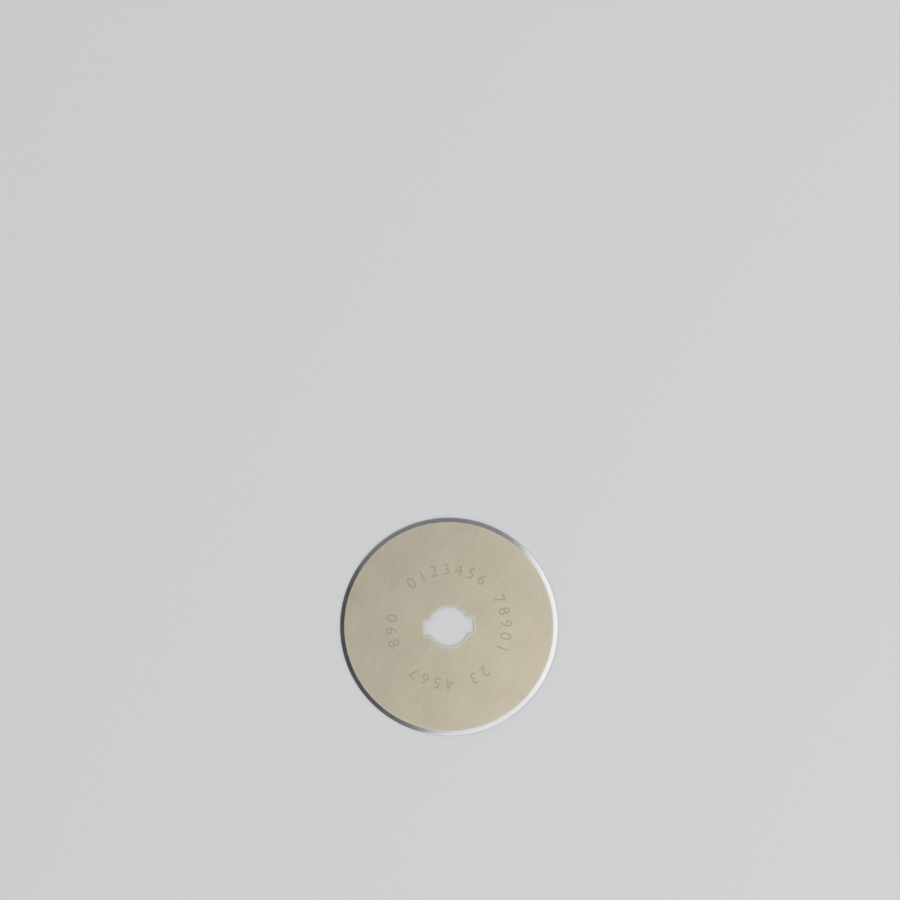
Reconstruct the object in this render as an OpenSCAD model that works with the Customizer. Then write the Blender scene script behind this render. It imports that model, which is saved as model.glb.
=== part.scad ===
// Rotary cutter blade: a flat disc of sheet steel, ground to a bevel on both
// sides and honed at the rim, with a centre bore and a pair of drive notches.
// The disc lies flat. The bore is on the Z axis, the lower face is at z = 0
// and the notches point along X.

/* [Disc] */
// Diameter over the cutting edge
blade_d = 45; // [28:0.5:65]
// Thickness of the steel sheet
blade_t = 0.3; // [0.2:0.05:0.6]

/* [Cutting edge] */
// Width of the ground band at the rim, from the flat face to the cutting edge
grind_w = 0.85; // [0.6:0.05:3]
// Width of the honed strip, the outermost part of the ground band
hone_w = 0.12; // [0.05:0.01:0.3]
// Thickness of the steel where the bevel meets the honed strip
hone_t = 0.05; // [0.02:0.01:0.12]

/* [Bore] */
// Diameter of the centre bore
bore_d = 8.2; // [6:0.1:12]
// Width of each drive notch
notch_w = 3.2; // [1.6:0.1:4.6]
// Depth of each drive notch beyond the bore wall
notch_depth = 0.95; // [0.6:0.05:2.5]
// Radius in the corners at the end of each notch
notch_r = 0.4; // [0.1:0.05:0.6]

/* [Hidden] */
$fn = 240;
blade_r = blade_d / 2;
mid_z = blade_t / 2;
notch_span = bore_d + 2 * notch_depth;
cut_margin = 1;

// Half section of the disc, to be turned about the axis. Each side runs flat
// from the axis, down the bevel, and down the steeper honed strip to the edge.
module disc_section() {
    bevel_start_r = blade_r - grind_w;
    bevel_end_r = blade_r - hone_w;
    polygon([
        [0, 0],
        [bevel_start_r, 0],
        [bevel_end_r, mid_z - hone_t / 2],
        [blade_r, mid_z],
        [bevel_end_r, mid_z + hone_t / 2],
        [bevel_start_r, blade_t],
        [0, blade_t]
    ]);
}

// Rectangle with round corners, made so that each corner is a true arc.
module rounded_rectangle(length, width, radius) {
    square([length - 2 * radius, width], center = true);
    square([length, width - 2 * radius], center = true);
    for (x = [-1, 1], y = [-1, 1])
        translate([x * (length / 2 - radius), y * (width / 2 - radius)])
            circle(r = radius);
}

// Outline punched through the disc: the bore, and one slot across it whose
// two ends are the drive notches.
module punched_outline() {
    circle(d = bore_d);
    rounded_rectangle(notch_span, notch_w, notch_r);
}

// The whole blade, one solid.
module blade() {
    color([0.72, 0.69, 0.61])
        difference() {
            rotate_extrude()
                disc_section();
            translate([0, 0, -cut_margin])
                linear_extrude(height = blade_t + 2 * cut_margin)
                    punched_outline();
        }
}

blade();
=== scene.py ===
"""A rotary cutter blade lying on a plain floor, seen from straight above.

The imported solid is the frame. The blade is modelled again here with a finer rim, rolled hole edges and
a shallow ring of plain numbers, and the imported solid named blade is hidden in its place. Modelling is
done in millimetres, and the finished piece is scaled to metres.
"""

import contextlib
import logging
import math
from collections.abc import Callable, Iterator
from dataclasses import dataclass
from enum import Enum

import bmesh
import bpy
from mathutils import Matrix, Vector


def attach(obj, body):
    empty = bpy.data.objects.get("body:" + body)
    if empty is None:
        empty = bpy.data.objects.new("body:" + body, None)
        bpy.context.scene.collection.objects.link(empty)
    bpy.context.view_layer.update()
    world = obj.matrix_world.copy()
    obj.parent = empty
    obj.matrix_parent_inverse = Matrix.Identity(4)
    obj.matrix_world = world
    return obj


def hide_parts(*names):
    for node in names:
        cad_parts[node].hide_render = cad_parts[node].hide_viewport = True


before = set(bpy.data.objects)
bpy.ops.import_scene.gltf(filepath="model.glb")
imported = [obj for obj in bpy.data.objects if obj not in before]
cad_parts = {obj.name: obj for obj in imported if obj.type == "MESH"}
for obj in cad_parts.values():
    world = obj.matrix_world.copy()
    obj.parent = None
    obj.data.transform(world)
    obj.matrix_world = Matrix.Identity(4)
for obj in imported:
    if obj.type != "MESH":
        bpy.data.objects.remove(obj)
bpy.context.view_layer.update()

MM = 0.001
LOG = logging.getLogger("rotary_blade")
# The mix of a finish's two colours where none of its marks shows
MID_SHADE = 0.5

Colour = tuple[float, float, float]
Node = bpy.types.Node
Socket = bpy.types.NodeSocket
Object = bpy.types.Object
Material = bpy.types.Material


class Zone(Enum):
    """The surfaces of the blade that have a finish of their own, in slot order."""

    FACE = 0
    BEVEL = 1
    HONED = 2
    PUNCHED = 3
    NUMBER = 4


class Value:
    """A shader socket that takes part in Python expressions as a number."""

    def __init__(self, graph: "Graph", socket: Socket) -> None:
        """Wraps a socket.

        Args:
            graph: The graph that the socket is in.
            socket: An output socket that carries a number.
        """
        self.graph = graph
        self.socket = socket

    def __add__(self, other: "Value | float") -> "Value":
        """Adds another value."""
        return self.graph.maths("ADD", self, other)

    def __radd__(self, other: float) -> "Value":
        """Adds this value to a number."""
        return self.graph.maths("ADD", other, self)

    def __sub__(self, other: "Value | float") -> "Value":
        """Subtracts another value."""
        return self.graph.maths("SUBTRACT", self, other)

    def __rsub__(self, other: float) -> "Value":
        """Subtracts this value from a number."""
        return self.graph.maths("SUBTRACT", other, self)

    def __mul__(self, other: "Value | float") -> "Value":
        """Multiplies by another value."""
        return self.graph.maths("MULTIPLY", self, other)

    def __rmul__(self, other: float) -> "Value":
        """Multiplies a number by this value."""
        return self.graph.maths("MULTIPLY", other, self)

    def __abs__(self) -> "Value":
        """Gives the size of this value without its sign."""
        return self.graph.maths("ABSOLUTE", self)

    def at_least(self, other: "Value | float") -> "Value":
        """Gives the larger of this and another value."""
        return self.graph.maths("MAXIMUM", self, other)

    def at_most(self, other: "Value | float") -> "Value":
        """Gives the smaller of this and another value."""
        return self.graph.maths("MINIMUM", self, other)

    def step(self, start: float, end: float) -> "Value":
        """Goes smoothly from 0 at start to 1 at end.

        Args:
            start: Where the step is still 0.
            end: Where the step has reached 1, above or below start.

        Returns:
            The smooth step.
        """
        node = self.graph.add(
            "ShaderNodeMapRange",
            {"interpolation_type": "SMOOTHSTEP"},
            {"Value": self, "From Min": min(start, end), "From Max": max(start, end)},
        )
        rising = Value(self.graph, node.outputs["Result"])
        return rising if start < end else 1 - rising


class Graph:
    """The node tree of a material or a world, with one method that adds any node."""

    def __init__(self, tree: bpy.types.NodeTree) -> None:
        """Starts from an empty tree.

        Args:
            tree: The tree to fill.
        """
        self.tree = tree
        tree.nodes.clear()

    def add(self, kind: str, settings: dict | None = None, sockets: dict | None = None) -> Node:
        """Adds a node.

        Args:
            kind: The node's type.
            settings: Its settings by name, set before its sockets.
            sockets: Its input sockets by name or number, each with a constant, a socket or a Value.

        Returns:
            The new node.
        """
        node = self.tree.nodes.new(kind)
        for name, setting in (settings or {}).items():
            setattr(node, name, setting)
        for name, given in (sockets or {}).items():
            source = given.socket if isinstance(given, Value) else given
            if isinstance(source, Socket):
                self.tree.links.new(source, node.inputs[name])
            else:
                node.inputs[name].default_value = source
        return node

    def maths(self, operation: str, *values: Value | float) -> Value:
        """Adds a Math node.

        Args:
            operation: The node's operation.
            values: Its operands, in order.

        Returns:
            The result.
        """
        node = self.add("ShaderNodeMath", {"operation": operation}, dict(enumerate(values)))
        return Value(self, node.outputs[0])

    def blend(self, factor: Value, low: Colour | Socket, high: Colour | Socket) -> Socket:
        """Mixes two colours.

        Args:
            factor: 0 for the first colour and 1 for the second.
            low: The first colour.
            high: The second colour.

        Returns:
            The mixed colour.
        """
        node = self.add("ShaderNodeMix", {"data_type": "RGBA"}, {"Factor": factor})
        shown = {s.name: s for s in node.inputs if s.enabled}
        for name, given in (("A", low), ("B", high)):
            if isinstance(given, Socket):
                self.tree.links.new(given, shown[name])
            else:
                shown[name].default_value = (*given, 1.0)
        return next(s for s in node.outputs if s.enabled)

    def join(self, x: Value | float, y: Value | float, z: Value | float) -> Socket:
        """Makes a vector of three values."""
        return self.add("ShaderNodeCombineXYZ", None, {"X": x, "Y": y, "Z": z}).outputs["Vector"]

    def noise(self, place: Socket, scale: float = 1.0, detail: float = 2.0) -> Value:
        """Adds soft noise that averages 0.

        Args:
            place: Where the noise is read.
            scale: How many cells there are in one unit of place.
            detail: How many finer layers are added.

        Returns:
            Noise, mostly from -0.25 to 0.25.
        """
        sockets = {"Vector": place, "Scale": scale, "Detail": detail}
        return Value(self, self.add("ShaderNodeTexNoise", None, sockets).outputs["Fac"]) - 0.5


class SteelGraph(Graph):
    """The nodes of one steel finish, with the place on the blade in millimetres."""

    def __init__(self, name: str) -> None:
        """Makes a new material and its place nodes.

        Args:
            name: The material's name.
        """
        self.material = bpy.data.materials.new(name)
        self.material.use_nodes = True
        super().__init__(self.material.node_tree)
        seat = self.add("ShaderNodeTexCoord").outputs["Object"]
        scaling = {"Vector": seat, "Scale": 1 / MM}
        self.place = self.add("ShaderNodeVectorMath", {"operation": "SCALE"}, scaling).outputs["Vector"]
        axes = self.add("ShaderNodeSeparateXYZ", None, {"Vector": self.place}).outputs
        self.x, self.y, self.z = (Value(self, axes[name]) for name in "XYZ")
        self.radius = self.maths("SQRT", self.x * self.x + self.y * self.y)

    def streaked(self, turn_deg: float, length: float, width: float) -> Socket:
        """Gives the place counted in streaks that all run one way.

        Args:
            turn_deg: The direction of the streaks, in degrees from +X.
            length: The length of a streak in millimetres.
            width: The width of a streak in millimetres.

        Returns:
            The place for a noise of scale 1.
        """
        sockets = {
            "Vector": self.place,
            "Rotation": (0, 0, math.radians(turn_deg)),
            "Scale": (length, width, 1),
        }
        return self.add("ShaderNodeMapping", {"vector_type": "TEXTURE"}, sockets).outputs["Vector"]

    def around(self, rim_r: float, width: float, length: float, lean_deg: float = 0.0) -> Socket:
        """Gives the place counted in lines that cross the ground band, with no seam round the disc.

        Args:
            rim_r: The radius of the rim in millimetres.
            width: The width of a line in millimetres.
            length: The length of a line along the radius in millimetres.
            lean_deg: How far the lines lean away from the radius, in degrees.

        Returns:
            The place for a noise of scale 1.
        """
        lean = math.tan(math.radians(lean_deg)) / rim_r
        angle = self.maths("ARCTAN2", self.y, self.x) + self.radius * lean
        cells = rim_r / width
        east, north = self.maths("COSINE", angle), self.maths("SINE", angle)
        return self.join(east * cells, north * cells, self.radius * (1 / length))

    def steel(self, colour: Socket, roughness: Value, height: Value, relief: float) -> Material:
        """Finishes the material as bare metal.

        Args:
            colour: Its colour.
            roughness: Its roughness.
            height: The height of its surface relief, as a noise.
            relief: How high that relief is, in millimetres.

        Returns:
            The material.
        """
        heights = {"Height": height, "Strength": 1.0, "Distance": relief * MM}
        bump = self.add("ShaderNodeBump", None, heights).outputs["Normal"]
        sockets = {"Base Color": colour, "Metallic": 1.0, "Roughness": roughness, "Normal": bump}
        shader = self.add("ShaderNodeBsdfPrincipled", None, sockets)
        self.add("ShaderNodeOutputMaterial", None, {"Surface": shader.outputs["BSDF"]})
        return self.material


@dataclass(frozen=True)
class BladeSizes:
    """Sizes of the blade in millimetres, with z up from its lower face."""

    edge_r: float
    hone_r: float
    hone_z: float
    face_r: float
    thickness: float
    bore_r: float
    notch_reach: float
    notch_half_w: float
    notch_corner_r: float

    @classmethod
    def of_solid(cls, solid: Object) -> "BladeSizes":
        """Reads the sizes from the corners of the solid's mesh, which lie on its true curves.

        Args:
            solid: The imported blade.

        Returns:
            The sizes.
        """
        points = [vertex.co / MM for vertex in solid.data.vertices]
        nearly = 0.002
        top = max(p.z for p in points)
        edge_r = max(p.xy.length for p in points)
        bore_r = min(p.xy.length for p in points)
        face_r = max(p.xy.length for p in points if p.z > top - nearly)
        on_slopes = [p for p in points if top / 2 + nearly < p.z < top - nearly]
        hone = max(on_slopes, key=lambda p: p.xy.length)
        notch = [p for p in points if p.xy.length < face_r / 2 and p.x > bore_r]
        reach = max(p.x for p in notch)
        half_w = max(p.y for p in notch)
        floor_half_w = max(p.y for p in notch if p.x > reach - nearly)
        return cls(
            edge_r=edge_r,
            hone_r=hone.xy.length,
            hone_z=hone.z,
            face_r=face_r,
            thickness=top,
            bore_r=bore_r,
            notch_reach=reach,
            notch_half_w=half_w,
            notch_corner_r=half_w - floor_half_w,
        )

    @property
    def hub_r(self) -> float:
        """A radius well outside the hole and well inside the numbers."""
        return self.face_r / 3


@dataclass(frozen=True)
class Marks:
    """How strongly one kind of mark shows in a finish.

    Shade moves the colour between the finish's two colours, dulling moves its roughness, and depth is the
    height of its relief in millimetres.
    """

    shade: float
    dulling: float
    depth: float = 0.0


@dataclass(frozen=True)
class SatinFace:
    """The flat faces: satin rolled steel, with painted highlight and rubbing along the hole and the bevel.
    Sizes are in mm.
    """

    sizes: BladeSizes
    dull: Colour = (0.584, 0.528, 0.407)
    bright: Colour = (0.732, 0.672, 0.534)
    # Colour of the lines along the hole and the bevel: partly rubbing, partly painted highlight of the edge
    # glint
    burnished: Colour = (0.73, 0.70, 0.62)
    roughness: float = 0.44
    clouds: Marks = Marks(shade=0.9, dulling=0.08)
    clouds_per_mm: float = 0.12
    grain: Marks = Marks(shade=1.1, dulling=0.16, depth=0.0015)
    grain_turn_deg: float = 62.0
    grain_length: float = 5.0
    grain_width: float = 0.16
    rags_per_mm: float = 2.0
    rag_reach: float = 0.8
    streak_reach: float = 0.5
    # Where the lines of painted highlight and rubbing fade out, in mm from the hole and from the bevel
    hole_rub_and_highlight: tuple[float, float] = (0.7, 0.15)
    bevel_rub_and_highlight: tuple[float, float] = (0.5, 0.1)
    bevel_rub_and_highlight_share: float = 0.45
    rub_polish: float = 0.1

    def hole_distance(self, graph: SteelGraph) -> Value:
        """Measures how far a place is from the edge of the bore and its notches.

        Args:
            graph: The graph to measure in.

        Returns:
            The distance in millimetres.
        """
        s = self.sizes
        past_x = abs(graph.x) - (s.notch_reach - s.notch_corner_r)
        past_y = abs(graph.y) - (s.notch_half_w - s.notch_corner_r)
        out_x, out_y = past_x.at_least(0), past_y.at_least(0)
        inside = past_x.at_least(past_y).at_most(0)
        slot = graph.maths("SQRT", out_x * out_x + out_y * out_y) + inside - s.notch_corner_r
        return slot.at_most(graph.radius - s.bore_r)

    def rub_and_highlight(self, graph: SteelGraph, grain: Value) -> Value:
        """Finds the ragged bright lines along the face's inner and outer edge, partly rubbing and partly
        painted highlight.

        Args:
            graph: The graph to work in.
            grain: The grain, which the rubbing follows.

        Returns:
            1 where the face is rubbed, and 0 where it isn't.
        """
        rags = graph.noise(graph.place, self.rags_per_mm, detail=4) * self.rag_reach
        rags = rags + grain * self.streak_reach
        hole_line = (self.hole_distance(graph) + rags).step(*self.hole_rub_and_highlight)
        bevel_line = (self.sizes.face_r - graph.radius + rags).step(*self.bevel_rub_and_highlight)
        return hole_line.at_least(bevel_line * self.bevel_rub_and_highlight_share)

    def material(self) -> Material:
        """Makes the material."""
        graph = SteelGraph("satin_face")
        clouds = graph.noise(graph.place, self.clouds_per_mm, detail=3)
        grain = graph.noise(graph.streaked(self.grain_turn_deg, self.grain_length, self.grain_width))
        # Painted highlight, partly rubbing too, laid in lines along the hole and the bevel over the face
        # colour
        rub_and_highlight = self.rub_and_highlight(graph, grain)
        shade = MID_SHADE + clouds * self.clouds.shade + grain * self.grain.shade
        colour = graph.blend(rub_and_highlight, graph.blend(shade, self.dull, self.bright), self.burnished)
        roughness = self.roughness + grain * self.grain.dulling + clouds * self.clouds.dulling
        return graph.steel(colour, roughness - rub_and_highlight * self.rub_polish, grain, self.grain.depth)


@dataclass(frozen=True)
class GroundBevel:
    """The ground band: bright steel crossed by fine leaning grinding lines. Sizes are in mm."""

    sizes: BladeSizes
    dull: Colour = (0.47, 0.47, 0.48)
    bright: Colour = (0.65, 0.65, 0.67)
    roughness: float = 0.21
    lines: Marks = Marks(shade=0.9, dulling=0.12, depth=0.0008)
    line_width: float = 0.09
    line_length: float = 1.4
    line_lean_deg: float = 38.0
    patches: Marks = Marks(shade=0.6, dulling=0.08)
    patch_width: float = 2.2
    patch_length: float = 3.0

    def material(self) -> Material:
        """Makes the material."""
        graph = SteelGraph("ground_bevel")
        rim_r = self.sizes.edge_r
        lines = graph.noise(graph.around(rim_r, self.line_width, self.line_length, self.line_lean_deg))
        patches = graph.noise(graph.around(rim_r, self.patch_width, self.patch_length))
        shade = MID_SHADE + lines * self.lines.shade + patches * self.patches.shade
        colour = graph.blend(shade, self.dull, self.bright)
        roughness = self.roughness + lines * self.lines.dulling + patches * self.patches.dulling
        return graph.steel(colour, roughness, lines, self.lines.depth)


@dataclass(frozen=True)
class HonedEdge:
    """The honed strip at the rim: the brightest and smoothest steel. Sizes are in mm."""

    sizes: BladeSizes
    dull: Colour = (0.60, 0.60, 0.61)
    bright: Colour = (0.74, 0.74, 0.75)
    roughness: float = 0.14
    lines: Marks = Marks(shade=1.0, dulling=0.08, depth=0.0003)
    line_width: float = 0.06
    line_length: float = 0.5
    line_lean_deg: float = 60.0

    def material(self) -> Material:
        """Makes the material."""
        graph = SteelGraph("honed_edge")
        place = graph.around(self.sizes.edge_r, self.line_width, self.line_length, self.line_lean_deg)
        lines = graph.noise(place)
        colour = graph.blend(MID_SHADE + lines * self.lines.shade, self.dull, self.bright)
        return graph.steel(colour, self.roughness + lines * self.lines.dulling, lines, self.lines.depth)


@dataclass(frozen=True)
class PunchedWall:
    """The wall of the bore and notches: burnished where the punch went in, torn and duller below.

    The burnished height and the lower lip are shares of the thickness, from where each is still torn to
    where it is smooth.
    """

    sizes: BladeSizes
    torn: Colour = (0.40, 0.385, 0.34)
    torn_roughness: float = 0.5
    burnished: Colour = (0.80, 0.79, 0.76)
    burnished_roughness: float = 0.24
    burnished_height: tuple[float, float] = (0.35, 0.5)
    lower_lip: tuple[float, float] = (0.08, 0.02)
    tears_per_mm: float = 14.0
    tear_reach: float = 0.05
    tear_dulling: float = 0.1
    tear_depth: float = 0.002

    def material(self) -> Material:
        """Makes the material."""
        graph = SteelGraph("punched_wall")
        tears = graph.noise(graph.place, self.tears_per_mm, detail=3)
        height = (graph.z + tears * self.tear_reach) * (1 / self.sizes.thickness)
        smooth = height.step(*self.burnished_height).at_least(height.step(*self.lower_lip))
        colour = graph.blend(smooth, self.torn, self.burnished)
        polish = smooth * (self.torn_roughness - self.burnished_roughness)
        roughness = self.torn_roughness - polish + tears * self.tear_dulling
        return graph.steel(colour, roughness, tears, self.tear_depth)


@dataclass(frozen=True)
class EtchedNumber:
    """The floor and sides of the numbers: dull steel with a fine etched tooth."""

    dark: Colour = (0.485, 0.441, 0.340)
    light: Colour = (0.580, 0.528, 0.410)
    roughness: float = 0.6
    tooth: Marks = Marks(shade=1.2, dulling=0.15, depth=0.002)
    teeth_per_mm: float = 16.0

    def material(self) -> Material:
        """Makes the material."""
        graph = SteelGraph("etched_number")
        tooth = graph.noise(graph.place, self.teeth_per_mm, detail=3)
        colour = graph.blend(MID_SHADE + tooth * self.tooth.shade, self.dark, self.light)
        return graph.steel(colour, self.roughness + tooth * self.tooth.dulling, tooth, self.tooth.depth)


def plain_material(name: str, shader: str, output: str, sockets: dict) -> Material:
    """Makes a material for the stage, with one shader and nothing that varies.

    Args:
        name: The material's name.
        shader: The shader node's type.
        output: The name of its output.
        sockets: Its input sockets by name.

    Returns:
        The material.
    """
    material = bpy.data.materials.new(name)
    material.use_nodes = True
    graph = Graph(material.node_tree)
    surface = graph.add(shader, None, sockets).outputs[output]
    graph.add("ShaderNodeOutputMaterial", None, {"Surface": surface})
    return material


def use_alone(*pieces: Object) -> None:
    """Selects only these objects, in object mode, with the first one active.

    Args:
        pieces: The objects, or none to leave nothing selected.
    """
    if bpy.context.object and bpy.context.object.mode != "OBJECT":
        bpy.ops.object.mode_set(mode="OBJECT")
    bpy.ops.object.select_all(action="DESELECT")
    for piece in pieces:
        piece.select_set(True)
    if pieces:
        bpy.context.view_layer.objects.active = pieces[0]


@contextlib.contextmanager
def editing(piece: Object, kind: str = "EDGE") -> Iterator[None]:
    """Opens a piece in edit mode with everything selected, and closes it again.

    Args:
        piece: The piece.
        kind: What is selected in it: VERT, EDGE or FACE.
    """
    use_alone(piece)
    bpy.ops.object.mode_set(mode="EDIT")
    bpy.ops.mesh.select_mode(type=kind)
    bpy.ops.mesh.select_all(action="SELECT")
    yield
    bpy.ops.object.mode_set(mode="OBJECT")


def select(piece: Object, kind: str, wanted: Callable[..., bool]) -> None:
    """Selects the edges or faces of a piece in edit mode that pass a test, and no others.

    Args:
        piece: The piece in edit mode.
        kind: What is tested: edges or faces.
        wanted: The test of one edge or face.
    """
    bpy.ops.mesh.select_all(action="DESELECT")
    mesh = bmesh.from_edit_mesh(piece.data)
    for part in getattr(mesh, kind):
        if wanted(part):
            part.select_set(True)
    bmesh.update_edit_mesh(piece.data)


def cut(piece: Object, cutter: Object) -> None:
    """Cuts one closed piece out of another and removes the cutter.

    Args:
        piece: The piece that is cut.
        cutter: The piece that is taken out of it.
    """
    use_alone(piece)
    boolean = piece.modifiers.new("cut", "BOOLEAN")
    boolean.operation = "DIFFERENCE"
    boolean.solver = "EXACT"
    boolean.object = cutter
    bpy.ops.object.modifier_apply(modifier=boolean.name)
    bpy.data.objects.remove(cutter)


@dataclass(frozen=True)
class NumberGroup:
    """Digits that follow each other clockwise, with a blank for a gap."""

    centre_deg: float
    digits: str


@dataclass(frozen=True)
class NumberRing:
    """A ring of plain numbers engraved round the bore, with their tops outwards. Sizes are in mm."""

    groups: tuple[NumberGroup, ...] = (
        NumberGroup(89.0, "0123456"),
        NumberGroup(-0.5, "78901"),
        NumberGroup(-93.0, "23 4567"),
        NumberGroup(180.5, "890"),
    )
    middle_r: float = 11.9
    digit_h: float = 2.35
    pitch_deg: float = 12.6
    depth: float = 0.018
    type_size: float = 3.2
    curve_steps: int = 8
    merge_under: float = 0.003

    def digit(self, text: str, angle_deg: float, top: float) -> Object:
        """Makes the cutter of one digit.

        Args:
            text: The digit.
            angle_deg: Where it stands in the ring, in degrees from +X.
            top: The height of the face that it is cut into.

        Returns:
            A closed prism that reaches from the digit's floor to well above the face.
        """
        use_alone()
        bpy.ops.object.text_add()
        letter = bpy.context.object
        letter.data.body = text
        letter.data.size = self.type_size
        letter.data.extrude = self.depth * 2
        letter.data.resolution_u = self.curve_steps
        bpy.ops.object.convert(target="MESH")
        with editing(letter, "VERT"):
            bpy.ops.mesh.remove_doubles(threshold=self.merge_under)
            bpy.ops.mesh.normals_make_consistent(inside=False)
        # Corners 0 and 6 of a bound box are its lowest and its highest
        low, high = (Vector(letter.bound_box[i]) for i in (0, 6))
        tall = self.digit_h / (high.y - low.y)
        middle = (low + high) / 2
        turn = math.radians(angle_deg)
        with editing(letter, "VERT"):
            bpy.ops.transform.translate(value=(-middle.x, -middle.y, top + self.depth))
            bpy.ops.transform.resize(value=(tall, tall, 1), center_override=(0, 0, 0))
        letter.rotation_euler.z = turn - math.pi / 2
        letter.location = (self.middle_r * math.cos(turn), self.middle_r * math.sin(turn), 0)
        bpy.ops.object.transform_apply(location=True, rotation=True, scale=True)
        return letter

    def cutter(self, top: float) -> Object:
        """Makes the cutter of the whole ring as one object.

        Args:
            top: The height of the face that it is cut into.

        Returns:
            The cutter.
        """
        letters = []
        for group in self.groups:
            first_deg = group.centre_deg + self.pitch_deg * (len(group.digits) - 1) / 2
            for place, text in enumerate(group.digits):
                if text != " ":
                    letters.append(self.digit(text, first_deg - place * self.pitch_deg, top))
        use_alone(*letters)
        bpy.ops.object.join()
        return letters[0]


@dataclass
class Blade:
    """The blade: a turned disc with a punched bore, rolled hole edges and engraved numbers."""

    sizes: BladeSizes
    numbers: NumberRing
    name: str = "cutting_disc"
    rim_segments: int = 512
    bore_segments: int = 256
    corner_segments: int = 16
    punch_h: float = 2.0
    top_roll: float = 0.06
    top_roll_segments: int = 4
    lower_break: float = 0.02
    lower_break_segments: int = 2
    smooth_under_deg: float = 3.5
    level_above: float = 0.999
    upright_below: float = 0.5
    merge_under: float = 0.002
    flat_under: float = 0.001

    def turned_disc(self) -> Object:
        """Draws the rim as a ring, extrudes it in to the middle over one side, and mirrors that side.

        Returns:
            The closed disc.
        """
        s = self.sizes
        middle = s.thickness / 2
        use_alone()
        bpy.ops.mesh.primitive_circle_add(vertices=self.rim_segments, radius=s.edge_r)
        disc = bpy.context.object
        disc.name = self.name
        radius, height = s.edge_r, 0.0
        with editing(disc):
            for next_r, next_z in ((s.hone_r, s.hone_z - middle), (s.face_r, middle)):
                bpy.ops.mesh.extrude_edges_move()
                bpy.ops.transform.translate(value=(0, 0, next_z - height))
                inward = next_r / radius
                bpy.ops.transform.resize(value=(inward, inward, 1), center_override=(0, 0, next_z))
                radius, height = next_r, next_z
            bpy.ops.mesh.edge_face_add()
        mirror = disc.modifiers.new("other_side", "MIRROR")
        mirror.use_axis = (False, False, True)
        mirror.merge_threshold = self.flat_under
        bpy.ops.object.modifier_apply(modifier=mirror.name)
        with editing(disc, "VERT"):
            bpy.ops.mesh.normals_make_consistent(inside=False)
            bpy.ops.transform.translate(value=(0, 0, middle))
        return disc

    def bore_punch(self) -> Object:
        """Makes the round punch of the bore."""
        s = self.sizes
        use_alone()
        middle = (0, 0, s.thickness / 2)
        bpy.ops.mesh.primitive_cylinder_add(
            vertices=self.bore_segments, radius=s.bore_r, depth=self.punch_h, location=middle
        )
        return bpy.context.object

    def notch_punch(self) -> Object:
        """Makes the bar that punches both notches, with its upright edges rounded."""
        s = self.sizes
        use_alone()
        middle = (0, 0, s.thickness / 2)
        half = (s.notch_reach, s.notch_half_w, self.punch_h / 2)
        bpy.ops.mesh.primitive_cube_add(size=2, location=middle)
        bar = bpy.context.object
        with editing(bar):
            bpy.ops.transform.resize(value=half, center_override=middle)
            select(bar, "edges", lambda edge: edge.verts[0].co.xy == edge.verts[1].co.xy)
            bpy.ops.mesh.bevel(
                offset=s.notch_corner_r,
                segments=self.corner_segments,
                affect="EDGES",
                clamp_overlap=False,
            )
        return bar

    def roll_hole_edges(self, disc: Object) -> None:
        """Rounds the hole's upper edge, where the punch pulled it in, and breaks its lower edge.

        Args:
            disc: The punched disc.
        """
        s = self.sizes

        def on_hole_edge(edge: bmesh.types.BMEdge, z: float) -> bool:
            """Says whether an edge lies between a face at height z and the wall of the hole."""
            upright = {abs(face.normal.z) < self.upright_below for face in edge.link_faces}
            level = all(abs(v.co.z - z) < self.merge_under for v in edge.verts)
            inner = all(v.co.xy.length < s.hub_r for v in edge.verts)
            return level and inner and upright == {True, False}

        top = (s.thickness, self.top_roll, self.top_roll_segments)
        bottom = (0.0, self.lower_break, self.lower_break_segments)
        for z, width, segments in (top, bottom):
            with editing(disc):
                select(disc, "edges", lambda edge, z=z: on_hole_edge(edge, z))
                bpy.ops.mesh.bevel(offset=width, segments=segments, affect="EDGES", clamp_overlap=True)

    def split_flats(self, disc: Object) -> None:
        """Merges points that lie almost on each other, and splits the level faces into even triangles.

        The first split can leave triangles with no height, and these are dissolved before the second.

        Args:
            disc: The disc with its bore and numbers.
        """
        with editing(disc, "FACE"):
            bpy.ops.mesh.remove_doubles(threshold=self.merge_under)
            for _ in range(2):
                bpy.ops.mesh.select_all(action="SELECT")
                bpy.ops.mesh.dissolve_degenerate(threshold=self.flat_under)
                select(disc, "faces", lambda face: abs(face.normal.z) > self.level_above)
                bpy.ops.mesh.quads_convert_to_tris(quad_method="BEAUTY", ngon_method="BEAUTY")
                bpy.ops.mesh.beautify_fill()

    def zone_of(self, face: bpy.types.MeshPolygon) -> Zone:
        """Says which surface of the blade a face belongs to.

        Args:
            face: A face of the finished mesh, in millimetres.

        Returns:
            The surface.
        """
        s = self.sizes
        radius = face.center.xy.length
        flat = abs(face.normal.z) > self.level_above
        top_depth = s.thickness - face.center.z
        if radius > s.hone_r:
            return Zone.HONED
        if radius > s.face_r:
            return Zone.BEVEL
        if radius < s.hub_r and not flat:
            return Zone.PUNCHED
        sunk = self.numbers.depth / 4 < top_depth < s.thickness / 2
        return Zone.NUMBER if sunk else Zone.FACE

    def dress(self, disc: Object) -> None:
        """Gives each surface of the blade its finish.

        Args:
            disc: The finished mesh, in millimetres.
        """
        finishes = {
            Zone.FACE: SatinFace(self.sizes),
            Zone.BEVEL: GroundBevel(self.sizes),
            Zone.HONED: HonedEdge(self.sizes),
            Zone.PUNCHED: PunchedWall(self.sizes),
            Zone.NUMBER: EtchedNumber(),
        }
        disc.data.materials.clear()
        for zone in Zone:
            disc.data.materials.append(finishes[zone].material())
        for face in disc.data.polygons:
            face.material_index = self.zone_of(face).value

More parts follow.
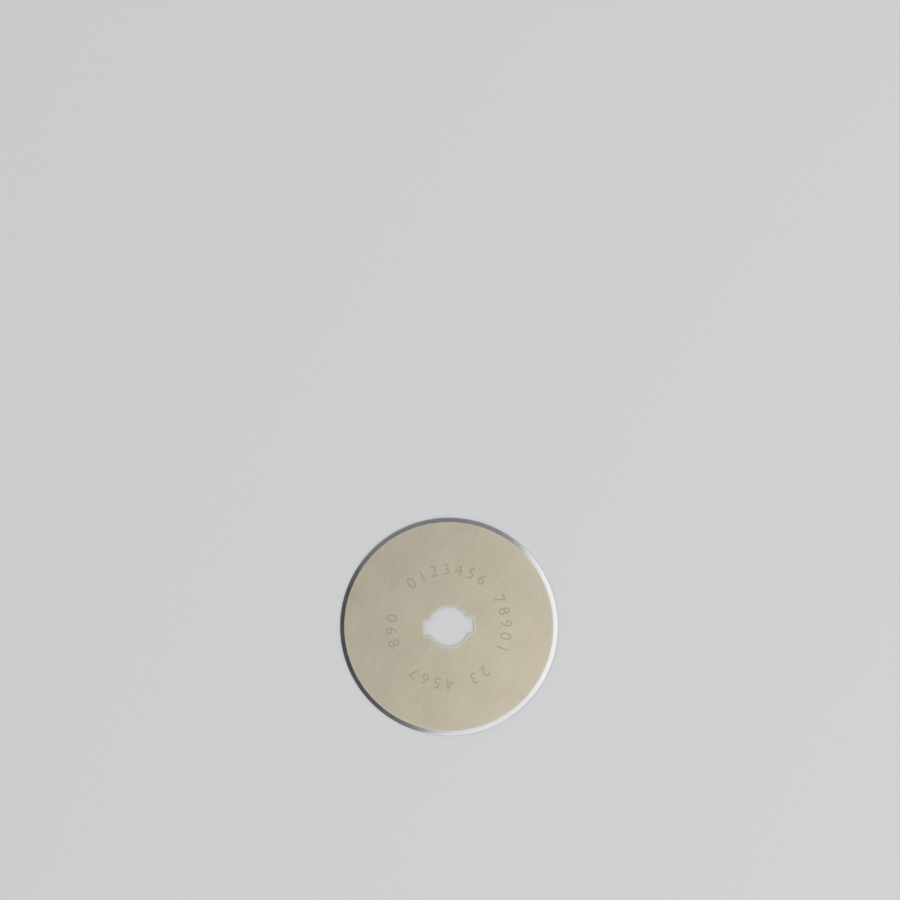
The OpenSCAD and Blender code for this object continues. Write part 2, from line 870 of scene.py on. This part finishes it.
    def build(self) -> Object:
        """Models and dresses the blade, and seats it in the frame.

        Returns:
            The blade.
        """
        disc = self.turned_disc()
        for cutter in (self.bore_punch(), self.notch_punch()):
            cut(disc, cutter)
        self.roll_hole_edges(disc)
        cut(disc, self.numbers.cutter(self.sizes.thickness))
        self.split_flats(disc)
        self.dress(disc)
        use_alone(disc)
        bpy.ops.object.shade_smooth_by_angle(angle=math.radians(self.smooth_under_deg))
        disc.scale = (MM, MM, MM)
        bpy.ops.object.transform_apply(location=True, rotation=True, scale=True)
        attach(disc, "root")
        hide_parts("blade")
        LOG.info("%s: %d faces", disc.name, len(disc.data.polygons))
        return disc


@dataclass(frozen=True)
class Patch:
    """A rectangle of the ceiling in metres, counted from the spot that the flat face mirrors to the camera.

    Along runs towards the key light, and across runs to the left of that.
    """

    name: str
    along: tuple[float, float]
    across: tuple[float, float]

    @property
    def middle(self) -> tuple[float, float]:
        """The middle, along and across."""
        return sum(self.along) / 2, sum(self.across) / 2

    @property
    def size(self) -> tuple[float, float]:
        """The size, along and across."""
        return self.along[1] - self.along[0], self.across[1] - self.across[0]


@dataclass(frozen=True)
class Studio:
    """The floor, the light and the camera. Sizes are in metres."""

    photo_px: float = 900.0
    blade_centre_px: tuple[float, float] = (448.9, 626.6)
    blade_radius_px: float = 108.7
    blade_turn_deg: float = 3.7
    lens_mm: float = 100.0
    floor_colour: Colour = (0.70, 0.705, 0.715)
    floor_roughness: float = 0.9
    floor_r: float = 4.0
    floor_segments: int = 128
    floor_gap: float = 0.00001
    backdrop: Colour = (0.580, 0.585, 0.592)
    mirrored_wall: Colour = (0.22, 0.22, 0.23)
    mirrored_window: Colour = (0.88, 0.88, 0.88)
    mirrored_high: Colour = (1.1, 1.1, 1.1)
    windows: int = 3
    window_turn_deg: float = -15.0
    window_edge: tuple[float, float] = (-0.5, 0.5)
    wall_top: tuple[float, float] = (0.2, 0.8)
    fill: float = 0.78
    ceiling: float = 0.4
    card_gap: float = 0.002
    key_turn_deg: float = -31.0
    key_level: float = 0.43
    key_patch: Patch = Patch("key_light", (0.058, 0.458), (-0.45, 0.45))
    cards: tuple[tuple[Patch, float], ...] = (
        (Patch("left_card", (-0.32, -0.05), (-0.32, 0.02)), 0.075),
        (Patch("upper_card", (-0.32, 0.058), (0.02, 0.32)), 0.30),
        (Patch("lower_card", (-0.05, 0.058), (-0.32, -0.08)), 0.12),
        (Patch("right_card", (0.058, 0.40), (-0.40, -0.045)), 0.88),
    )

    def hang(self, piece: Object, patch: Patch, camera: Vector, gap: float = 0.0) -> None:
        """Hangs a lamp or card flat at ceiling height.

        Args:
            piece: The lamp or card.
            patch: Where it hangs.
            camera: Where the camera stands.
            gap: How far above the ceiling height it hangs.
        """
        turn = math.radians(self.key_turn_deg)
        along, across = patch.middle
        mirrored = -camera.xy * self.ceiling / camera.z
        offset = Vector((along, across))
        offset.rotate(Matrix.Rotation(turn, 2))
        piece.location = (*(mirrored + offset), self.ceiling + gap)
        piece.rotation_euler.z = turn

    def camera(self, blade_radius: float, height: float) -> Vector:
        """Looks straight down, with the blade where the photo has it.

        Args:
            blade_radius: The blade's radius in metres.
            height: The height of its rim.

        Returns:
            Where the camera stands.
        """
        metre_per_px = blade_radius / self.blade_radius_px
        frame_w = self.photo_px * metre_per_px
        turn = math.radians(-self.blade_turn_deg)
        right_px = self.photo_px / 2 - self.blade_centre_px[0]
        up_px = self.blade_centre_px[1] - self.photo_px / 2
        data = bpy.data.cameras.new("camera")
        data.lens = self.lens_mm
        camera = bpy.data.objects.new("camera", data)
        bpy.context.collection.objects.link(camera)
        right, up = right_px * metre_per_px, up_px * metre_per_px
        camera.location = (
            right * math.cos(turn) - up * math.sin(turn),
            right * math.sin(turn) + up * math.cos(turn),
            height + frame_w * self.lens_mm / data.sensor_width,
        )
        camera.rotation_euler = (0, 0, turn)
        bpy.context.scene.camera = camera
        return camera.location.copy()

    def floor(self) -> None:
        """Lays a wide pale floor just under the blade."""
        use_alone()
        bpy.ops.mesh.primitive_circle_add(
            vertices=self.floor_segments,
            radius=self.floor_r,
            fill_type="NGON",
            location=(0, 0, -self.floor_gap),
        )
        floor = bpy.context.object
        floor.name = "floor"
        paint = {"Base Color": (*self.floor_colour, 1.0), "Roughness": self.floor_roughness}
        material = plain_material("pale_floor", "ShaderNodeBsdfPrincipled", "BSDF", paint)
        floor.data.materials.append(material)

    def world(self) -> None:
        """Surrounds the blade with an even fill and a pale backdrop, and gives the metal a room to mirror.

        The room has soft windows in its walls, all round, and a bright ceiling.
        """
        world = bpy.data.worlds.new("studio")
        bpy.context.scene.world = world
        world.use_nodes = True
        graph = Graph(world.node_tree)
        rays = graph.add("ShaderNodeLightPath").outputs
        ray = graph.add("ShaderNodeTexCoord").outputs["Generated"]
        axes = graph.add("ShaderNodeSeparateXYZ", None, {"Vector": ray}).outputs
        east, north, climb = (Value(graph, axes[name]) for name in "XYZ")
        bearing = graph.maths("ARCTAN2", north, east) - math.radians(self.window_turn_deg)
        window = graph.maths("COSINE", bearing * self.windows).step(*self.window_edge)
        walls = graph.blend(window, self.mirrored_wall, self.mirrored_window)
        mirrored = graph.blend(climb.step(*self.wall_top), walls, self.mirrored_high)
        colour = graph.blend(Value(graph, rays["Is Camera Ray"]), (self.fill,) * 3, self.backdrop)
        colour = graph.blend(Value(graph, rays["Is Glossy Ray"]), colour, mirrored)
        light = graph.add("ShaderNodeBackground", None, {"Color": colour})
        graph.add("ShaderNodeOutputWorld", None, {"Surface": light.outputs["Background"]})

    def key_light(self, camera: Vector) -> None:
        """Hangs one large soft light over the side where the photo's bevel is bright.

        Args:
            camera: Where the camera stands.
        """
        data = bpy.data.lights.new(self.key_patch.name, "AREA")
        data.shape = "RECTANGLE"
        data.size, data.size_y = self.key_patch.size
        data.energy = self.key_level * math.pi * data.size * data.size_y
        light = bpy.data.objects.new(self.key_patch.name, data)
        bpy.context.collection.objects.link(light)
        self.hang(light, self.key_patch, camera)
        light.visible_camera = False

    def card(self, patch: Patch, level: float, camera: Vector) -> None:
        """Hangs a card just above the key light, which only the metal reflects.

        Args:
            patch: Where it hangs.
            level: How bright it is.
            camera: Where the camera stands.
        """
        use_alone()
        bpy.ops.mesh.primitive_plane_add(size=1)
        card = bpy.context.object
        card.name = patch.name
        card.scale = (*patch.size, 1)
        self.hang(card, patch, camera, self.card_gap)
        material = plain_material(patch.name, "ShaderNodeEmission", "Emission", {"Strength": level})
        material.cycles.emission_sampling = "NONE"
        card.data.materials.append(material)
        card.visible_camera = card.visible_diffuse = card.visible_shadow = False

    def build(self, sizes: BladeSizes) -> None:
        """Sets up the camera, the floor and the light.

        Args:
            sizes: The blade's sizes in millimetres.
        """
        place = self.camera(sizes.edge_r * MM, sizes.thickness / 2 * MM)
        self.floor()
        self.world()
        self.key_light(place)
        for patch, level in self.cards:
            self.card(patch, level, place)
        bpy.context.scene.view_settings.view_transform = "Standard"
        LOG.info("studio: camera %.3f m above the floor", place.z)


def main() -> None:
    """Builds the blade and the studio."""
    logging.basicConfig(level=logging.INFO, format="%(name)s: %(message)s")
    sizes = BladeSizes.of_solid(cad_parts["blade"])
    LOG.info("sizes in mm: %s", sizes)
    Blade(sizes, NumberRing()).build()
    Studio().build(sizes)


if __name__ == "__main__":
    main()
